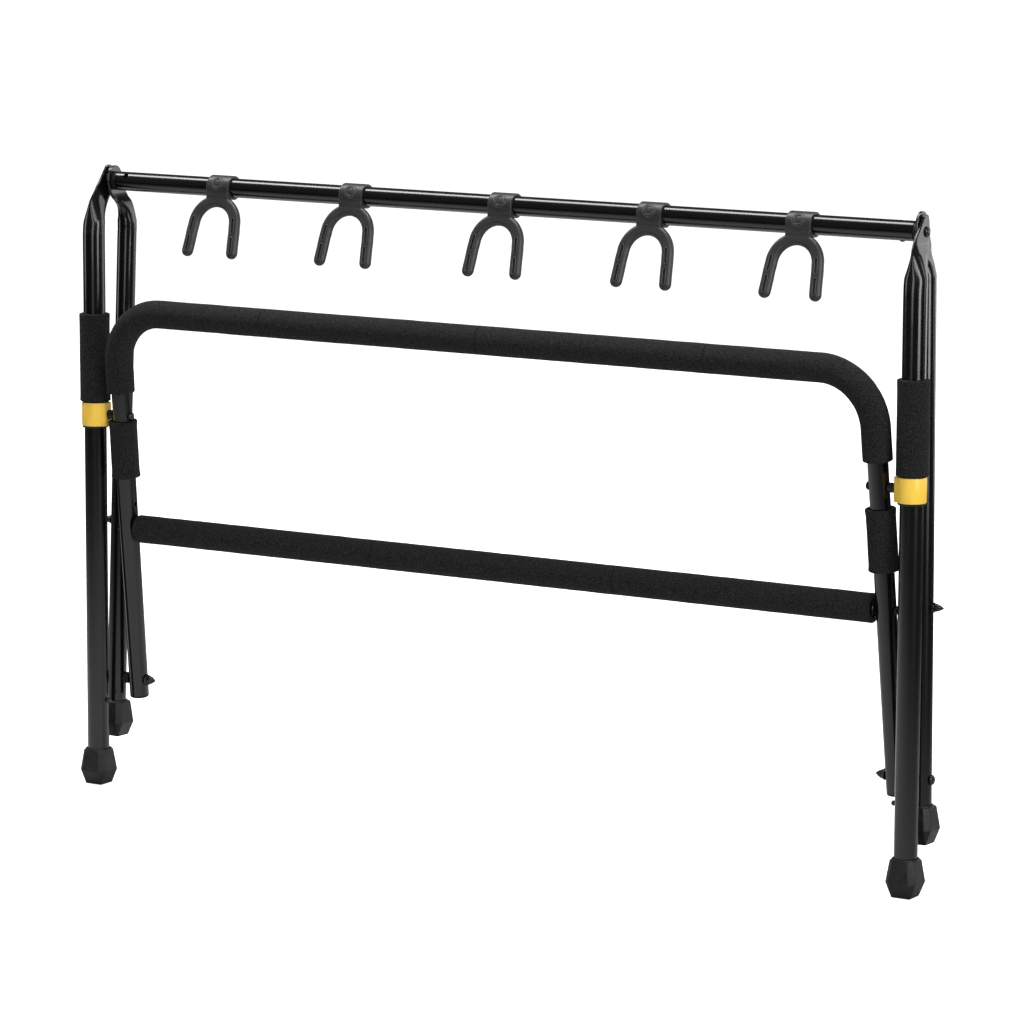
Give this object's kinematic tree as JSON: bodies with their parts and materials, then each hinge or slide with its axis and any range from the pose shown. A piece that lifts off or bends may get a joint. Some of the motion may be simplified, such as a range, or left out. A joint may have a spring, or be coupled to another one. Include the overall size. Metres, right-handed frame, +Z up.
{
  "type": "guitar rack",
  "caption": "Folding floor rack for guitars: hinged leg frames, a foam-padded swinging cradle on sliding collars and forked yokes clipped to a top bar.",
  "frame": {"origin": "centre of the shut rack's footprint rectangle, on the floor under the front feet", "axes": "+X along the top bar, from the left legs to the right legs seen from the front; +Y from the front of the rack to its back; +Z up"},
  "size_m": [1.0872, 0.0894, 0.7212],
  "materials": {
    "painted_steel": "gloss",
    "black_hardware": "satin",
    "foam": "matte",
    "black_rubber": "matte",
    "charcoal_moulding": "matte",
    "yellow_plastic": "satin"
  },
  "bodies": {
    "front_frame": {"top_bar": "painted_steel", "bar_plug_left": "black_rubber", "bar_plug_right": "black_rubber", "bar_pin_left": "black_hardware", "bar_pin_right": "black_hardware", "pivot_bolt_left": "black_hardware", "pivot_bolt_right": "black_hardware", "leg_washer_left": "black_rubber", "front_leg_left": "painted_steel", "front_leg_right": "painted_steel", "front_foot_left": "black_rubber", "front_foot_right": "black_rubber", "leg_foam_left": "foam", "leg_foam_right": "foam", "stop_pin_left": "black_hardware", "stop_pin_right": "black_hardware"},
    "rear_legs": {"rear_leg_left": "painted_steel", "rear_leg_right": "painted_steel", "rear_foot_left": "black_rubber", "rear_foot_right": "black_rubber", "link_bolt_left": "black_hardware", "link_bolt_right": "black_hardware", "link_spacer_left": "black_rubber", "link_spacer_right": "black_rubber", "bumper_bolt_left": "black_hardware", "bumper_bolt_right": "black_hardware"},
    "collars": {"slider_left": "black_rubber", "slider_right": "black_rubber", "collar_left": "yellow_plastic", "collar_right": "yellow_plastic", "cradle_bolt_left": "black_hardware", "cradle_bolt_right": "black_hardware", "cradle_spacer_left": "black_rubber", "cradle_spacer_right": "black_rubber"},
    "cradle": {"cradle_tube": "painted_steel", "cradle_cap_left": "black_rubber", "cradle_cap_right": "black_rubber", "cradle_foam_1": "foam", "cradle_foam_2": "foam", "cradle_foam_3": "foam", "cradle_foam_4": "foam", "side_foam_left": "foam", "side_foam_right": "foam", "cross_tube": "painted_steel", "cross_plug_left": "black_rubber", "cross_plug_right": "black_rubber", "cross_bolt_left": "black_hardware", "cross_bolt_right": "black_hardware", "cross_foam_1": "foam", "cross_foam_2": "foam", "cross_foam_3": "foam", "link_cap_left": "black_hardware", "link_cap_right": "black_hardware"},
    "yoke_1": {"yoke_1": "charcoal_moulding"},
    "yoke_2": {"yoke_2": "charcoal_moulding"},
    "yoke_3": {"yoke_3": "charcoal_moulding"},
    "yoke_4": {"yoke_4": "charcoal_moulding"},
    "yoke_5": {"yoke_5": "charcoal_moulding"}
  },
  "joints": [
    {"name": "legs_fold", "type": "hinge", "parent": "front_frame", "child": "rear_legs", "pos_m": [0, 0.0154, 0.7], "axis": [1, 0, 0], "range_deg": [0, 27.95]},
    {"name": "collar_slide", "type": "slide", "parent": "front_frame", "child": "collars", "axis": [0, 0, -1], "range_m": [0, 0.316]},
    {"name": "cradle_swing", "type": "hinge", "parent": "collars", "child": "cradle", "pos_m": [0, -0.0146, 0.434], "axis": [1, 0, 0], "range_deg": [0, 96.67]},
    {"name": "yoke_1_swing", "type": "hinge", "parent": "front_frame", "child": "yoke_1", "pos_m": [-0.364, 0.0154, 0.7], "axis": [1, 0, 0], "range_deg": [-105, 50]},
    {"name": "yoke_2_swing", "type": "hinge", "parent": "front_frame", "child": "yoke_2", "pos_m": [-0.185, 0.0154, 0.7], "axis": [1, 0, 0], "range_deg": [-105, 50]},
    {"name": "yoke_3_swing", "type": "hinge", "parent": "front_frame", "child": "yoke_3", "pos_m": [0.009, 0.0154, 0.7], "axis": [1, 0, 0], "range_deg": [-105, 50]},
    {"name": "yoke_4_swing", "type": "hinge", "parent": "front_frame", "child": "yoke_4", "pos_m": [0.196, 0.0154, 0.7], "axis": [1, 0, 0], "range_deg": [-105, 50]},
    {"name": "yoke_5_swing", "type": "hinge", "parent": "front_frame", "child": "yoke_5", "pos_m": [0.3765, 0.0154, 0.7], "axis": [1, 0, 0], "range_deg": [-105, 50]}
  ],
  "couplings": [
    {"joint": "collar_slide", "follows": "legs_fold", "m_per_rad": 0.6477},
    {"joint": "cradle_swing", "follows": "legs_fold", "ratio": 3.4586}
  ]
}
